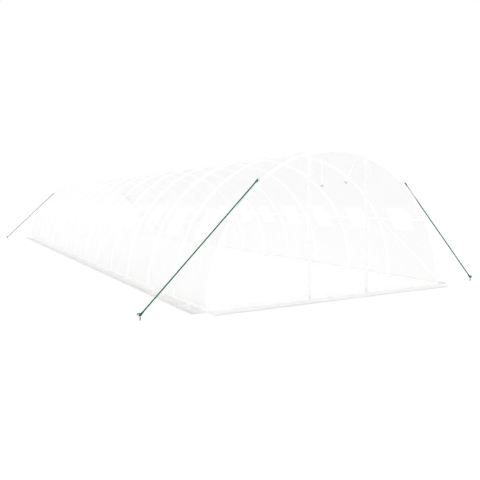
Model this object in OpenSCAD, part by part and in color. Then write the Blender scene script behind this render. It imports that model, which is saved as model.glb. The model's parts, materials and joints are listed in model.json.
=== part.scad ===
// Polytunnel greenhouse: half-circle steel hoops under a film cover, with a zipped
// door in each end, mesh windows along both sides, a ground skirt and guy ropes.
// X runs across the tunnel, Y along it with the front end at -Y, and Z up from the ground.

/* [Tunnel] */
// Number of bays between the hoops
bay_count = 14; // [4:1:16]
// Distance from one hoop to the next
bay_length = 1000; // [800:10:1300]
// Width over the hoop tubes, which is twice the hoops' outer radius
tunnel_width = 4000; // [3800:10:4600]

/* [Tubes and fittings] */
// Outer diameter of the hoop, rail and post tubes
tube_d = 25; // [20:1:28]
// Outer diameter of the corner brace tubes
brace_d = 19; // [12:1:20]
// Wall of the sockets, sleeves and clamp rings
socket_wall = 1.8; // [1:0.1:3]
// Depth that a tube goes into a socket
socket_depth = 30; // [22:1:32]
// Length of the sleeves over the joints between hoop tubes
sleeve_length = 64; // [50:1:70]
// Width of the clamp rings that hold posts and braces
clamp_width = 40; // [30:1:60]
// Clearance round a tube in its socket, and between the frame and the film
fit = 0.6; // [0.5:0.05:0.9]
// Elevation of the side purlins on the hoop, in degrees
purlin_angle = 30; // [28:0.5:33]
// Clearance between a socket's mouth and the clamp ring of a brace
clamp_gap = 12; // [5:1:60]

/* [Cover] */
// Thickness of the film panels
film_t = 3; // [2:0.5:6]
// Width of a window along the tunnel
window_w = 420; // [250:10:500]
// Height of a window, measured round the arch
window_h = 420; // [250:10:460]
// Thickness of the window mesh
mesh_t = 2; // [1:0.5:3]
// Width of the skirt flaps on the ground
skirt_width = 200; // [100:10:400]
// Thickness of the skirt flaps
skirt_t = 3; // [2:0.5:6]

/* [Doors] */
// Width of the door between its posts' centrelines
door_width = 1000; // [800:10:1200]
// Height of the film that is left between the door's upper corners and the arch
door_drop = 80; // [40:5:400]
// Width of the zip tapes
zip_width = 36; // [20:1:60]
// Thickness of the zip tapes
zip_t = 4; // [2:0.5:6]
// Width of the tie straps
strap_width = 30; // [20:1:50]
// Thickness of the tie straps
strap_t = 2; // [1:0.5:4]
// Length of the tie straps
strap_length = 370; // [200:10:450]
// Distance between the two straps of a door
strap_spacing = 600; // [300:10:700]
// Height of the straps' top ends above the door's top edge
strap_rise = 15; // [5:5:30]
// Lean of the strap that has been drawn aside, in degrees
strap_lean = 30; // [0:1:35]

/* [Guy ropes] */
// Diameter of the guy ropes
rope_d = 14; // [6:0.5:16]
// Clearance between the ropes and the film that they pass
rope_gap = 5; // [2:0.5:7]
// Distance of the pegs from the tunnel's sides
peg_offset = 810; // [500:10:1200]
// Diameter of the peg's rod
peg_d = 12; // [6:0.5:14]
// Height of the peg above the ground
peg_height = 82; // [46:1:120]
// Wire diameter of the rope rings
ring_wire = 5; // [3:0.5:8]
// Inner diameter of the rope rings
ring_bore = 32; // [24:1:50]

/* [Hidden] */
$fn = 24;
// Facets of a full turn, for what is bent round the whole tunnel
arch_fn = 120;

// Frame: the hoops' half circle stands on the base rails, whose sockets rest on the ground
hoop_r = tunnel_width / 2 - tube_d / 2;
socket_d = tube_d + 2 * (fit + socket_wall);
socket_r = socket_d / 2;
frame_z = socket_r;
end_y = bay_count * bay_length / 2;
reach = socket_r + socket_depth;
tube_stop = socket_r + fit;
hoop_ys = [for (i = [0 : bay_count]) i * bay_length - end_y];
sleeve_angle = (purlin_angle + 90) / 2;
joint_angles = [0, purlin_angle, sleeve_angle, 90, 180 - sleeve_angle, 180 - purlin_angle, 180];
post_angle = acos(door_width / 2 / hoop_r);
clamp_set = reach + clamp_gap + clamp_width / 2;
brace_low_angle = arc_deg(clamp_set, hoop_r);
brace_low = hoop_point(brace_low_angle, -end_y);
brace_top = hoop_point(purlin_angle, bay_length - end_y - clamp_set);

// Cover: the arched film clears the sockets, and the end films close it just inside its ends
film_r = hoop_r + socket_r + fit;
end_film_y = end_y + socket_r + fit;
cover_end_y = end_film_y + film_t;
window_half = arc_deg(window_h / 2, film_r);
window_low = purlin_angle - window_half;
window_high = purlin_angle + window_half;
crown_angle = (window_high + 90) / 2;
ground_angle = -asin((frame_z - skirt_t) / film_r);

// Doors: the top edge follows from the arch's height over the door's upper corners
arch_r = film_r - fit;
door_height = frame_z + sqrt(arch_r * arch_r - door_width * door_width / 4) - door_drop;
strap_top = door_height + strap_rise;
buckle = [strap_width + 10, 8, 24];
buckle_slot = [strap_width + 1, 9, 9];

// Guy ropes: each ring stands on the film over an end hoop, at the angle from which the rope's line
// to its peg passes the film with the rope's clearance
ring_r = (ring_bore + ring_wire) / 2;
ring_outer_r = ring_bore / 2 + ring_wire;
ring_centre_r = film_r + film_t + fit + ring_outer_r;
peg_x = tunnel_width / 2 + peg_offset;
hook_length = 3 * peg_d;
rope_foot = [peg_x, -end_y, peg_height - peg_d - rope_d];
foot_rise = rope_foot[2] - frame_z;
rope_pass_r = film_r + film_t + rope_gap + rope_d / 2;
rope_angle = atan2(foot_rise, peg_x) + acos(rope_pass_r / norm([peg_x, foot_rise]))
  + acos(rope_pass_r / ring_centre_r);
ring_centre = [
  ring_centre_r * cos(rope_angle), -end_y, frame_z + ring_centre_r * sin(rope_angle)
];

steel_white = "whitesmoke";
fitting_grey = "gainsboro";
film_white = [0.93, 0.95, 0.96, 0.45];
mesh_white = [1, 1, 1, 0.8];
rope_green = "darkgreen";

function arc_deg(length, radius) = length / radius * 180 / PI;
function hoop_point(angle, y) = [hoop_r * cos(angle), y, frame_z + hoop_r * sin(angle)];

// Part of a hoop's ring with a round section, from one angle to another, in the plane of hoop y
module hoop_rod(d, from, to, y) {
  translate([0, y, frame_z])
    rotate([90, 0, 0])
      rotate([0, 0, min(from, to)])
        rotate_extrude(angle = abs(to - from), $fn = arch_fn)
          translate([hoop_r, 0])
            circle(d = d);
}

// Places what follows on a hoop's centreline
module on_hoop(angle, y) {
  translate(hoop_point(angle, y))
    children();
}

// Straight rods along Y, X and Z, from one distance to another
module rod_y(d, from, to) {
  translate([0, max(from, to), 0])
    rotate([90, 0, 0])
      cylinder(d = d, h = abs(to - from));
}

module rod_x(d, from, to) {
  translate([min(from, to), 0, 0])
    rotate([0, 90, 0])
      cylinder(d = d, h = abs(to - from));
}

module rod_z(d, from, to) {
  translate([0, 0, min(from, to)])
    cylinder(d = d, h = abs(to - from));
}

// Straight rod from one point to another
module rod_between(d, from, to) {
  v = to - from;
  translate(from)
    rotate([0, acos(v[2] / norm(v)), atan2(v[1], v[0])])
      cylinder(d = d, h = norm(v));
}

// Sheet bent round the tunnel, from one angle to another, and its length along Y about its middle
module arched_sheet(radius, thickness, from, to, length) {
  translate([0, 0, frame_z])
    rotate([90, 0, 0])
      rotate([0, 0, from])
        rotate_extrude(angle = to - from, $fn = arch_fn)
          translate([radius, -length / 2])
            square([thickness, length]);
}

module mirror_x(flip) {
  mirror([flip ? 1 : 0, 0, 0])
    children();
}

module mirror_y(flip) {
  mirror([0, flip ? 1 : 0, 0])
    children();
}

// Repeats what stands at the front right corner at all four
module each_corner() {
  for (flip_x = [0, 1], flip_y = [0, 1])
    mirror_x(flip_x)
      mirror_y(flip_y)
        children();
}

// One hoop: six bent tubes that stop short of each other inside the connectors and sleeves
module hoop(y) {
  gap = arc_deg(tube_stop, hoop_r);
  butt = arc_deg(fit, hoop_r);
  for (i = [0 : 5]) {
    low_is_sleeve = i == 2 || i == 4;
    high_is_sleeve = i == 1 || i == 3;
    color(steel_white)
      hoop_rod(
        tube_d,
        joint_angles[i] + (low_is_sleeve ? butt : gap),
        joint_angles[i + 1] - (high_is_sleeve ? butt : gap),
        y
      );
  }
}

module inner_hoops() {
  for (i = [1 : bay_count - 1])
    hoop(hoop_ys[i]);
}

// Straight rod that lies along a hoop at an angle on it, about its middle, halfway
// between the bent tube's chord and its crown so that the two stay in line
module hoop_chord(d, angle, length, y) {
  sagitta = length * length / (8 * hoop_r);
  translate([0, y, frame_z])
    rotate([0, -angle, 0])
      translate([hoop_r - sagitta / 2, 0, 0])
        rod_z(d, -length / 2, length / 2);
}

// Ring round a hoop tube, bored to slide onto it
module hoop_ring(angle, width, y) {
  difference() {
    hoop_chord(socket_d, angle, width, y);
    hoop_chord(tube_d + 2 * fit, angle, width + 2, y);
  }
}

module hoop_sleeves() {
  color(fitting_grey)
    for (y = hoop_ys, angle = [sleeve_angle, 180 - sleeve_angle])
      hoop_ring(angle, sleeve_length, y);
}

// Ends of a fitting's rod: a full socket on each way out, and a short stub on a closed side
function has(ways, way) = len([for (s = ways) if (s == way) s]) > 0;
function rod_from(ways) = has(ways, -1) ? -reach : -tube_d / 2;
function rod_to(ways) = has(ways, 1) ? reach : tube_d / 2;

// Fitting on a hoop with straight sockets round the hoop, along Y and across X, bored as far as its core
module connector(angle, y, round_hoop, along, across = []) {
  far = reach + 1;
  bore = tube_d + 2 * fit;
  on_hoop(angle, y)
    difference() {
      union() {
        rotate([0, -angle, 0])
          rod_z(socket_d, rod_from(round_hoop), rod_to(round_hoop));
        rod_y(socket_d, rod_from(along), rod_to(along));
        if (len(across) > 0)
          rod_x(socket_d, rod_from(across), rod_to(across));
      }
      for (s = round_hoop)
        rotate([0, -angle, 0])
          rod_z(bore, s * socket_r, s * far);
      for (s = along)
        rod_y(bore, s * socket_r, s * far);
      for (s = across)
        rod_x(bore, s * socket_r, s * far);
    }
}

// Directions in which rails leave hoop i: inwards only at the two ends
function rail_ways(i) = i == 0 ? [1] : i == bay_count ? [-1] : [-1, 1];

// The end hoops' feet also take the sill
function is_end(i) = i == 0 || i == bay_count;

module ridge_connectors() {
  color(fitting_grey)
    for (i = [0 : bay_count])
      connector(90, hoop_ys[i], [-1, 1], rail_ways(i));
}

module shoulder_connectors() {
  color(fitting_grey)
    for (i = [0 : bay_count], angle = [purlin_angle, 180 - purlin_angle])
      connector(angle, hoop_ys[i], [-1, 1], rail_ways(i));
}

module foot_connectors() {
  color(fitting_grey)
    for (i = [0 : bay_count]) {
      connector(0, hoop_ys[i], [1], rail_ways(i), is_end(i) ? [-1] : []);
      connector(180, hoop_ys[i], [-1], rail_ways(i), is_end(i) ? [1] : []);
    }
}

// A line of one-bay tubes between the connectors at an angle on the hoops
module rail(angle) {
  color(steel_white)
    for (i = [0 : bay_count - 1])
      on_hoop(angle, hoop_ys[i])
        rod_y(tube_d, tube_stop, bay_length - tube_stop);
}

// Sill across an end: a tube each side of the doorway and a threshold tube between the tees
module sill(y) {
  tee_x = door_width / 2;
  color(steel_white)
    translate([0, y, frame_z]) {
      for (s = [-1, 1])
        rod_x(tube_d, s * (tee_x + tube_stop), s * (hoop_r - tube_stop));
      rod_x(tube_d, tube_stop - tee_x, tee_x - tube_stop);
    }
}

// Tee on a sill: sockets to both sides and one up for the door post
module sill_tee(x, y) {
  far = reach + 1;
  bore = tube_d + 2 * fit;
  translate([x, y, frame_z])
    difference() {
      union() {
        rod_x(socket_d, -reach, reach);
        rod_z(socket_d, -tube_d / 2, reach);
      }
      for (s = [-1, 1])
        rod_x(bore, s * socket_r, s * far);
      rod_z(bore, socket_r, far);
    }
}

module sill_tees() {
  color(fitting_grey)
    for (x = [-door_width / 2, door_width / 2], y = [-end_y, end_y])
      sill_tee(x, y);
}

// Door posts of one end, standing in the tees and coped round the clamp rings on the hoop
module door_posts(y) {
  post_top = frame_z + hoop_r * sin(post_angle);
  coped_d = socket_d + 2 * fit;
  color(steel_white)
    for (side = [0, 1])
      mirror_x(side)
        difference() {
          translate([door_width / 2, y, 0])
            rod_z(tube_d, frame_z + tube_stop, post_top);
          hoop_chord(coped_d, post_angle, 2 * clamp_width, y);
        }
}

// Ring round a side purlin, about a point on its centreline
module purlin_ring(at) {
  translate(at)
    difference() {
      rod_y(socket_d, -clamp_width / 2, clamp_width / 2);
      rod_y(tube_d + 2 * fit, -clamp_width, clamp_width);
    }
}

// Straight braces from low on an end hoop to the side purlin beside the next hoop, coped round their rings
module corner_braces() {
  coped_d = socket_d + 2 * fit;
  color(steel_white)
    each_corner()
      difference() {
        rod_between(brace_d, brace_low, brace_top);
        hoop_chord(coped_d, brace_low_angle, 2 * clamp_width, -end_y);
        translate(brace_top)
          rod_y(coped_d, -clamp_width, clamp_width);
      }
}

module clamp_rings() {
  color(fitting_grey)
    each_corner() {
      hoop_ring(post_angle, clamp_width, -end_y);
      hoop_ring(brace_low_angle, clamp_width, -end_y);
      purlin_ring(brace_top);
    }
}

// One strip of the arched cover, on the right side
module cover_strip(from, to) {
  color(film_white)
    arched_sheet(film_r, film_t, from, to, 2 * cover_end_y);
}

// The film below the windows, down to the skirt
module wall_film(flip) {
  mirror_x(flip)
    cover_strip(ground_angle, window_low);
}

// The film beside the windows: a pier over each hoop, and to the cover's edge at the ends
module window_film(flip) {
  half = (bay_length - window_w) / 2;
  color(film_white)
    mirror_x(flip)
      for (i = [0 : bay_count]) {
        from = i == 0 ? -cover_end_y : hoop_ys[i] - half;
        to = i == bay_count ? cover_end_y : hoop_ys[i] + half;
        translate([0, (from + to) / 2, 0])
          arched_sheet(film_r, film_t, window_low, window_high, to - from);
      }
}

module roof_film(flip) {
  mirror_x(flip)
    cover_strip(window_high, crown_angle);
}

module crown_film(flip) {
  mirror_x(flip)
    cover_strip(crown_angle, 90);
}

// A panel of mesh in each bay, which fills its window but for a clearance at the edges
module window_meshes(flip) {
  half = arc_deg(window_h / 2 - fit, film_r);
  color(mesh_white)
    mirror_x(flip)
      for (i = [0 : bay_count - 1])
        translate([0, hoop_ys[i] + bay_length / 2, 0])
          arched_sheet(
            film_r + (film_t - mesh_t) / 2,
            mesh_t,
            purlin_angle - half,
            purlin_angle + half,
            window_w - 2 * fit
          );
}

// The half disc that closes an end, standing on its skirt, as a flat sheet
module end_disc() {
  rotate([90, 0, 0])
    linear_extrude(film_t)
      intersection() {
        translate([0, frame_z])
          circle(r = arch_r, $fn = arch_fn);
        translate([-film_r, skirt_t])
          square([2 * film_r, 2 * film_r]);
      }
}

// A block through the end film, between two values of x and two of z
module end_block(x0, x1, z0, z1) {
  translate([x0, -2 * film_t, z0])
    cube([x1 - x0, 4 * film_t, z1 - z0]);
}

// Puts a front end piece on the front of the tunnel, or on the back as seen from there
module on_end(back) {
  rotate([0, 0, back ? 180 : 0])
    translate([0, -end_film_y, 0])
      children();
}

module side_films(back) {
  color(film_white)
    on_end(back)
      difference() {
        end_disc();
        end_block(-door_width / 2, door_width / 2, 0, 2 * film_r);
      }
}

module door_top_film(back) {
  color(film_white)
    on_end(back)
      intersection() {
        end_disc();
        end_block(fit - door_width / 2, door_width / 2 - fit, door_height, 2 * film_r);
      }
}

module door_panel(back) {
  color(film_white)
    on_end(back)
      translate([fit - door_width / 2, -film_t, skirt_t])
        cube([door_width - 2 * fit, film_t, door_height - skirt_t - fit]);
}

// Zip tapes over the two upright edges of the door panel
module door_zips(back) {
  color("silver")
    on_end(back)
      for (s = [-1, 1])
        translate([s * door_width / 2 - zip_width / 2, -film_t - zip_t, skirt_t])
          cube([zip_width, zip_t, door_height - skirt_t]);
}

// Places the straps of one door: the first hangs straight and the second leans aside
module at_straps(back) {
  on_end(back)
    for (s = [-1, 1])
      translate([s * strap_spacing / 2, -film_t, strap_top])
        rotate([0, s > 0 ? strap_lean : 0, 0])
          children();
}

module door_straps() {
  color("white")
    for (back = [0, 1])
      at_straps(back)
        translate([-strap_width / 2, -strap_t, -strap_length])
          cube([strap_width, strap_t, strap_length]);
}

module strap_buckles() {
  color("black")
    for (back = [0, 1])
      at_straps(back)
        translate([-buckle[0] / 2, -buckle[1], -strap_length - buckle[2]])
          difference() {
            cube(buckle);
            translate((buckle - buckle_slot) / 2)
              cube(buckle_slot);
          }
}

module side_skirt(flip) {
  color(film_white)
    mirror_x(flip)
      translate([film_r, -cover_end_y, 0])
        cube([film_t + skirt_width, 2 * cover_end_y, skirt_t]);
}

module end_skirt(back) {
  color(film_white)
    on_end(back)
      translate([-arch_r, -film_t - skirt_width, 0])
        cube([2 * arch_r, film_t + skirt_width, skirt_t]);
}

// Steel rings that stand in the plane of the end hoops
module guy_rings() {
  color("silver")
    each_corner()
      translate(ring_centre)
        rotate([90, 0, 0])
          rotate_extrude()
            translate([ring_r, 0])
              circle(d = ring_wire);
}

// Taut ropes from the rings to the pegs, coped round the pegs' rods
module guy_ropes() {
  v = (rope_foot - ring_centre) / norm(rope_foot - ring_centre);
  color(rope_green)
    each_corner()
      difference() {
        rod_between(rope_d, ring_centre + (ring_outer_r + fit) * v, rope_foot);
        translate(rope_foot)
          rod_z(peg_d + 2 * fit, -peg_height, peg_height);
      }
}

// Pegs from ground level up: a rod with its top bent outwards as a hook
module guy_pegs() {
  color("dimgray")
    each_corner()
      translate([peg_x, -end_y, 0]) {
        rod_z(peg_d, 0, peg_height);
        translate([0, 0, peg_height - peg_d])
          rod_x(peg_d, 0, hook_length);
      }
}

hoop(hoop_ys[0]);  // front_hoop
hoop(hoop_ys[bay_count]);  // back_hoop
inner_hoops();
hoop_sleeves();
ridge_connectors();
shoulder_connectors();
foot_connectors();
rail(90);  // ridge_purlin
rail(180 - purlin_angle);  // left_side_purlin
rail(purlin_angle);  // right_side_purlin
rail(180);  // left_base_rail
rail(0);  // right_base_rail
sill(-end_y);  // front_sill
sill(end_y);  // back_sill
sill_tees();
door_posts(-end_y);  // front_door_posts
door_posts(end_y);  // back_door_posts
corner_braces();
clamp_rings();
wall_film(true);  // left_wall_film
window_film(true);  // left_window_film
roof_film(true);  // left_roof_film
crown_film(true);  // left_crown_film
wall_film(false);  // right_wall_film
window_film(false);  // right_window_film
roof_film(false);  // right_roof_film
crown_film(false);  // right_crown_film
window_meshes(true);  // left_window_meshes
window_meshes(false);  // right_window_meshes
side_films(false);  // front_side_films
door_top_film(false);  // front_door_top_film
door_panel(false);  // front_door_panel
door_zips(false);  // front_door_zips
side_films(true);  // back_side_films
door_top_film(true);  // back_door_top_film
door_panel(true);  // back_door_panel
door_zips(true);  // back_door_zips
door_straps();
strap_buckles();
side_skirt(true);  // left_skirt
side_skirt(false);  // right_skirt
end_skirt(false);  // front_skirt
end_skirt(true);  // back_skirt
guy_rings();
guy_ropes();
guy_pegs();
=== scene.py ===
"""Dresses the polytunnel greenhouse: film cover, mesh windows, zipped doors, skirts and guy ropes."""

import json
from math import acos, asin, atan, cos, exp, hypot, pi, radians, sin, sqrt, tau

import bmesh
import bpy
from mathutils import Matrix, Vector, noise


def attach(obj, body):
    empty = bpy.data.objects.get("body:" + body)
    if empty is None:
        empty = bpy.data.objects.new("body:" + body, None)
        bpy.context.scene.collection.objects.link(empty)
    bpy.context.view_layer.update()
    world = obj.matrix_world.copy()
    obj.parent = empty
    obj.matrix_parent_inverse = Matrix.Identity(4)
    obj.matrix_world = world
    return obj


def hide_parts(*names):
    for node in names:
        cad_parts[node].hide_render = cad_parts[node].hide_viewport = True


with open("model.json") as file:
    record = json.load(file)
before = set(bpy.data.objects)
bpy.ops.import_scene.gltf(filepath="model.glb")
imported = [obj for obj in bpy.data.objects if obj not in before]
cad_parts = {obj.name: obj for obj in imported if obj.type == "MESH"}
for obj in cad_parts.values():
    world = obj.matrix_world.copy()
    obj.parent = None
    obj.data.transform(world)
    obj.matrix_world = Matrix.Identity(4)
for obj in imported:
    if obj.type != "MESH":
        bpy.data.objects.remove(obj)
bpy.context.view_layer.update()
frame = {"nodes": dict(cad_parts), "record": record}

# Sizes in metres, the same as in the part's source
BAYS = 14
BAY = 1.0
END_Y = BAYS * BAY / 2
HALF_WIDTH = 2.0
TUBE_R = 0.0125
FIT = 0.0006
SOCKET_WALL = 0.0018
SOCKET_R = TUBE_R + FIT + SOCKET_WALL
SOCKET_DEPTH = 0.030
HOOP_R = HALF_WIDTH - TUBE_R
FRAME_Z = SOCKET_R
FILM_T = 0.003
FILM_R = HOOP_R + SOCKET_R + FIT
SHEET_R = FILM_R + FILM_T / 2
END_FILM_Y = END_Y + SOCKET_R + FIT
END_SHEET_Y = END_FILM_Y + FILM_T / 2
COVER_END = END_FILM_Y + FILM_T
ARCH_R = FILM_R - FIT
PURLIN = radians(30)
WINDOW_W = 0.42
WINDOW_H = 0.42
WINDOW_HALF = WINDOW_H / 2 / FILM_R
SKIRT_T = 0.003
SKIRT_W = 0.20
DOOR_W = 1.0
DOOR_BELOW_ARCH = 0.080
DOOR_H = FRAME_Z + sqrt(ARCH_R**2 - DOOR_W**2 / 4) - DOOR_BELOW_ARCH
ZIP_W = 0.036
STRAP_W = 0.030
STRAP_LENGTH = 0.370
STRAP_SPACING = 0.600
STRAP_RISE = 0.015
STRAP_TOP = DOOR_H + STRAP_RISE
STRAP_LEAN = radians(30)
ROPE_R = 0.007
ROPE_GAP = 0.005
RING_WIRE = 0.005
RING_BORE = 0.032
RING_OUT = RING_BORE / 2 + RING_WIRE
RING_R = FILM_R + FILM_T + FIT + RING_OUT
PEG_OUT = 0.810
PEG_X = HALF_WIDTH + PEG_OUT
PEG_R = 0.006
PEG_H = 0.082
FOOT_Z = PEG_H - 2 * PEG_R - 2 * ROPE_R
# The rope's line passes the film with its clearance, which gives the ring's angle on the hoop
ROPE_PASS_R = FILM_R + FILM_T + ROPE_GAP + ROPE_R
ROPE_ANGLE = (
    atan((FOOT_Z - FRAME_Z) / PEG_X)
    + acos(ROPE_PASS_R / hypot(PEG_X, FOOT_Z - FRAME_Z))
    + acos(ROPE_PASS_R / RING_R)
)
GROUND_ANGLE = -asin((FRAME_Z - SKIRT_T) / FILM_R)
# Trims that only the scene has
FOOT_STRIP = 0.040
FOOT_STRIP_LIFT = 0.0016
WEBBING_T = 0.0014
# The places of the hoops and bays along the tunnel, and its sides and ends by name
HOOP_YS = [i * BAY - END_Y for i in range(BAYS + 1)]
BAY_YS = [y + BAY / 2 for y in HOOP_YS[:-1]]
SIDES = {"left": pi - PURLIN, "right": PURLIN}
ENDS = {"front": False, "back": True}
# Starting places of the film's folds at each end, by whether it is the back
END_SEEDS = {False: 11.0, True: 21.0}
DOOR_SEEDS = {False: 31.0, True: 41.0}
# Each end has a straight strap and a leaning one
STRAPS = [(back, leaning) for back in ENDS.values() for leaning in (False, True)]


# Materials


# Sizes of the marks in the finishes, in metres. The scrim's threads lie 12 mm apart, and 6 mm where
# two layers are welded
SCRIM = 0.012
DOUBLED_SCRIM = 0.006
MESH_YARN = 0.0016
ZIP_YARN = 0.0012
WEBBING_YARN = 0.0018
CRINKLE = 0.0294
ORANGE_PEEL = 0.00238
HANDLED_PATCH = 0.143
SPANGLE = 0.00625
MOULD_GRAIN = 0.00111
BLEACHED_PATCH = 0.2
# Fibres of 0.2 mm are drawn 1 mm coarse so that they show
FIBRE = 0.001
# A Mix node's colour sockets go by number, because their names repeat
MIX_A, MIX_B, MIX_RESULT = 6, 7, 2


def linear(hex_colour):
    """Linear colour of an sRGB hex value."""
    parts = [int(hex_colour[i : i + 2], 16) / 255 for i in (1, 3, 5)]
    return (*[c / 12.92 if c <= 0.04045 else ((c + 0.055) / 1.055) ** 2.4 for c in parts], 1.0)


def add(tree, kind, settings=None, links=None):
    """Adds a shader node with its settings, and links its inputs to other nodes' outputs. A socket
    whose name repeats goes by its number."""
    made = tree.nodes.new(kind)
    for name, value in (settings or {}).items():
        if isinstance(name, int) or name in made.inputs:
            made.inputs[name].default_value = value
        else:
            setattr(made, name, value)
    for name, source in (links or {}).items():
        tree.links.new(source, made.inputs[name])
    return made


def new_material(name):
    """An empty node material and its tree."""
    material = bpy.data.materials.new(name)
    material.use_nodes = True
    material.node_tree.nodes.clear()
    return material, material.node_tree


def surface(tree, settings, links):
    """Ends a material with its one shader."""
    shader = add(tree, "ShaderNodeBsdfPrincipled", settings, links)
    add(tree, "ShaderNodeOutputMaterial", links={"Surface": shader.outputs["BSDF"]})


def paint_hoop_light(tree, across, shade):
    """A soft pale line painted over each hoop: painted light of the white tube showing through the film.
    """
    line_half, faded = 0.015, 0.032
    from_hoop = add(
        tree, "ShaderNodeMath", {"operation": "PINGPONG", 1: BAY / 2}, {0: across.outputs["X"]}
    )
    painted_hoop_light = add(
        tree,
        "ShaderNodeMapRange",
        {"From Min": line_half, "From Max": faded, "To Min": 1.0, "To Max": 0.0},
        {"Value": from_hoop.outputs[0]},
    )
    return add(
        tree,
        "ShaderNodeMix",
        {"data_type": "RGBA", MIX_B: linear("#FFFFFF")},
        {"Factor": painted_hoop_light.outputs["Result"], MIX_A: shade.outputs[MIX_RESULT]},
    )


def film_material(
    name,
    film,
    thread,
    alpha,
    thread_pitch=SCRIM,
    mark_size=0.4,
    mark_depth=0.06,
    edge_shade=0.0,
    hoop_light=False,
):
    """Laminated polythene film: a square scrim of white threads between two milky coats.
    The eye sees a translucent, softly shining sheet with a fine grid and faint cloudy handling marks.
    One share darkens a skirt towards its free edge, as painted shade under its lifted edge."""
    material, tree = new_material(name)
    place = add(tree, "ShaderNodeTexCoord")
    on_part, on_cut = {"Vector": place.outputs["Object"]}, {"Vector": place.outputs["UV"]}
    scrim = add(
        tree,
        "ShaderNodeTexBrick",
        {
            "offset": 0.0,
            "Color1": linear(film),
            "Color2": linear(film),
            "Mortar": linear(thread),
            "Scale": 1.0,
            "Mortar Size": thread_pitch * 0.07,
            "Mortar Smooth": 0.4,
            "Brick Width": thread_pitch,
            "Row Height": thread_pitch,
        },
        on_cut,
    )
    cloud = add(tree, "ShaderNodeTexNoise", {"Scale": 1 / mark_size, "Detail": 5.0}, on_part)
    tone = add(
        tree,
        "ShaderNodeMapRange",
        {"From Min": 0.3, "From Max": 0.7, "To Min": 1 - mark_depth, "To Max": 1.0},
        {"Value": cloud.outputs["Fac"]},
    )
    across = add(tree, "ShaderNodeSeparateXYZ", links=on_cut)
    # Painted shade under a skirt's lifted free edge: the tone darkens from 30 % of the skirt's width out
    # to its edge
    painted_edge_shade = add(
        tree,
        "ShaderNodeMapRange",
        {"From Min": SKIRT_W * 0.3, "From Max": SKIRT_W, "To Min": 1.0, "To Max": 1 - edge_shade},
        {"Value": across.outputs["Y"]},
    )
    tone_and_edge_shade = add(
        tree,
        "ShaderNodeMath",
        {"operation": "MULTIPLY"},
        {0: tone.outputs["Result"], 1: painted_edge_shade.outputs["Result"]},
    )
    shade = add(
        tree,
        "ShaderNodeMix",
        {"data_type": "RGBA", "blend_type": "MULTIPLY", "Factor": 1.0},
        {MIX_A: scrim.outputs["Color"], MIX_B: tone_and_edge_shade.outputs[0]},
    )
    # Painted light: a whiter line over each hoop, where the white tube shows through
    if hoop_light:
        shade = paint_hoop_light(tree, across, shade)
    gloss = add(
        tree,
        "ShaderNodeMapRange",
        {"From Min": 0.3, "From Max": 0.7, "To Min": 0.30, "To Max": 0.46},
        {"Value": cloud.outputs["Fac"]},
    )
    crinkle = add(tree, "ShaderNodeTexNoise", {"Scale": 1 / CRINKLE, "Detail": 4.0}, on_part)
    crinkle_bump = add(
        tree, "ShaderNodeBump", {"Strength": 0.25, "Distance": 0.002}, {"Height": crinkle.outputs["Fac"]}
    )
    bump = add(
        tree,
        "ShaderNodeBump",
        {"Strength": 0.3, "Distance": 0.0004},
        {"Height": scrim.outputs["Fac"], "Normal": crinkle_bump.outputs["Normal"]},
    )
    surface(
        tree,
        {"IOR": 1.51, "Alpha": alpha},
        {
            "Base Color": shade.outputs[MIX_RESULT],
            "Roughness": gloss.outputs["Result"],
            "Normal": bump.outputs["Normal"],
        },
    )
    return material


def coated_material(name, colour, worn, roughness):
    """Powder-coated steel tube: an even satin coat with a fine orange-peel skin, a little duller
    where handled."""
    material, tree = new_material(name)
    on_part = {"Vector": add(tree, "ShaderNodeTexCoord").outputs["Object"]}
    peel = add(tree, "ShaderNodeTexNoise", {"Scale": 1 / ORANGE_PEEL, "Detail": 2.0}, on_part)
    handled = add(tree, "ShaderNodeTexNoise", {"Scale": 1 / HANDLED_PATCH, "Detail": 4.0}, on_part)
    tint = add(
        tree,
        "ShaderNodeMix",
        {"data_type": "RGBA", MIX_A: linear(colour), MIX_B: linear(worn)},
        {"Factor": handled.outputs["Fac"]},
    )
    gloss = add(
        tree,
        "ShaderNodeMapRange",
        {"To Min": roughness - 0.06, "To Max": roughness + 0.06},
        {"Value": handled.outputs["Fac"]},
    )
    bump = add(
        tree, "ShaderNodeBump", {"Strength": 0.12, "Distance": 0.0003}, {"Height": peel.outputs["Fac"]}
    )
    surface(
        tree,
        {"IOR": 1.5},
        {
            "Base Color": tint.outputs[MIX_RESULT],
            "Roughness": gloss.outputs["Result"],
            "Normal": bump.outputs["Normal"],
        },
    )
    return material


def zinc_material(name, bright, dull):
    """Zinc-plated steel: a cool grey metal with the cloudy spangle of the plating."""
    material, tree = new_material(name)
    on_part = {"Vector": add(tree, "ShaderNodeTexCoord").outputs["Object"]}
    spangle = add(tree, "ShaderNodeTexVoronoi", {"Scale": 1 / SPANGLE}, on_part)
    tint = add(
        tree,
        "ShaderNodeMix",
        {"data_type": "RGBA", MIX_A: linear(bright), MIX_B: linear(dull)},
        {"Factor": spangle.outputs["Distance"]},
    )
    gloss = add(
        tree,
        "ShaderNodeMapRange",
        {"To Min": 0.28, "To Max": 0.5},
        {"Value": spangle.outputs["Distance"]},
    )
    surface(
        tree,
        {"Metallic": 1.0},
        {"Base Color": tint.outputs[MIX_RESULT], "Roughness": gloss.outputs["Result"]},
    )
    return material


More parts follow.
